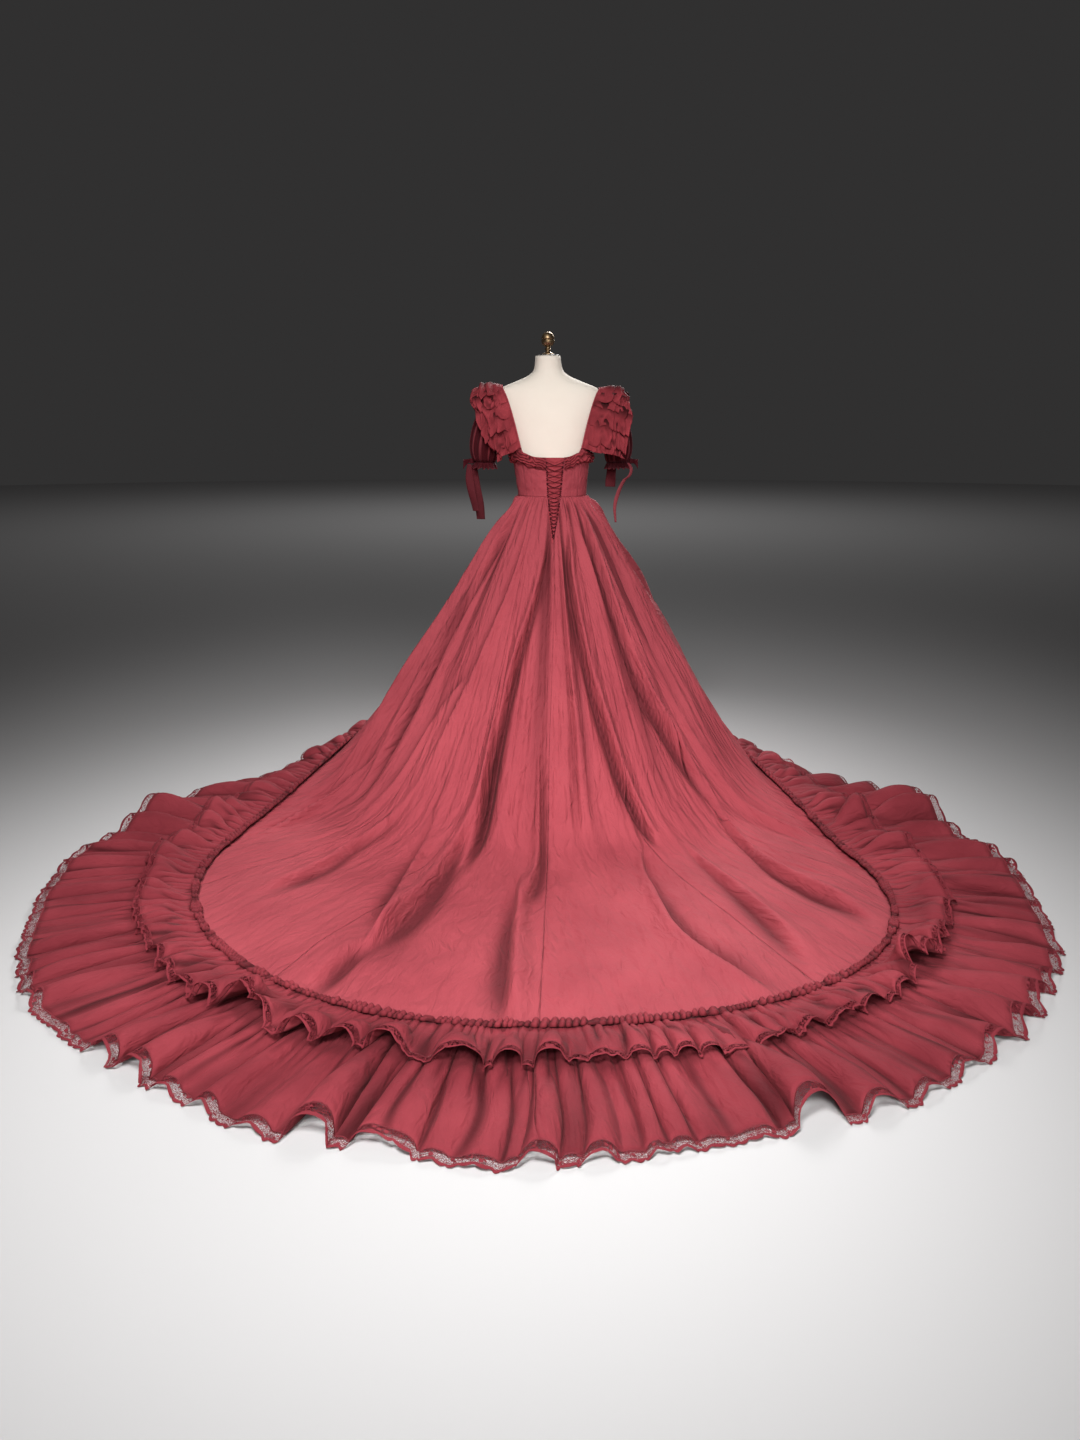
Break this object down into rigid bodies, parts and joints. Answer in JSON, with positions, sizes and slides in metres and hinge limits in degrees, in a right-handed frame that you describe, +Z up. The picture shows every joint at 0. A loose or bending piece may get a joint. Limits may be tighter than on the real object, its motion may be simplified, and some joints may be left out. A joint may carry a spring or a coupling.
{
  "type": "tiered gown on a dress form",
  "caption": "Corset-backed ball gown with puff sleeves, ruffled shoulders and a round train edged with two gathered flounces, on a limbless dress form.",
  "frame": {"origin": "on the floor at the middle of the dress form's base", "axes": "+Z up, +X to the right of a viewer who stands behind the gown, -Y to the back of the gown, along its train"},
  "size_m": [3.0633, 3.0585, 1.7207],
  "materials": {
    "cotton": "matte crisp plain weave, dusty red",
    "flounce": "matte crisp plain weave, deeper red, gathered",
    "velvet": "dark red velvet with a soft sheen",
    "lace": "scalloped open lace",
    "cord": "satin cord",
    "jersey": "smooth cream cover of a dress form",
    "brass": "aged, turned",
    "steel": "satin"
  },
  "bodies": {
    "root": {"skirt_back_left": "cotton", "skirt_back_right": "cotton", "skirt_side_back_left": "cotton", "skirt_side_back_right": "cotton", "skirt_side_left": "cotton", "skirt_side_right": "cotton", "skirt_front": "cotton", "bodice_back_left": "cotton", "bodice_back_right": "cotton", "bodice_side_left": "cotton", "bodice_side_right": "cotton", "bodice_front": "cotton", "neck_band_back_left": "cotton", "neck_band_back_right": "cotton", "neck_band_front": "cotton", "modesty_panel": "cotton", "lacing_under": "cord", "lacing_over": "cord", "lower_flounce_1": "flounce", "lower_flounce_2": "flounce", "lower_flounce_3": "flounce", "lower_flounce_4": "flounce", "lower_flounce_5": "flounce", "lower_flounce_6": "flounce", "lower_lace_1": "lace", "lower_lace_2": "lace", "lower_lace_3": "lace", "lower_lace_4": "lace", "upper_flounce_1": "flounce", "upper_flounce_2": "flounce", "upper_flounce_3": "flounce", "upper_flounce_4": "flounce", "upper_lace_1": "lace", "upper_lace_2": "lace", "ruched_heading_1": "cotton", "ruched_heading_2": "cotton", "strap_left": "cotton", "sleeve_left": "velvet", "cuff_left": "velvet", "ruffle_top_left": "flounce", "ruffle_middle_left": "flounce", "ruffle_low_left": "flounce", "bow_left": "velvet", "ribbon_tail_left_1": "velvet", "ribbon_tail_left_2": "velvet", "strap_right": "cotton", "sleeve_right": "velvet", "cuff_right": "velvet", "ruffle_top_right": "flounce", "ruffle_middle_right": "flounce", "ruffle_low_right": "flounce", "bow_right": "velvet", "ribbon_tail_right_1": "velvet", "ribbon_tail_right_2": "velvet", "form_torso": "jersey", "form_neck_plate": "steel", "form_finial": "brass", "form_pole": "steel", "form_base": "steel"}
  },
  "joints": []
}
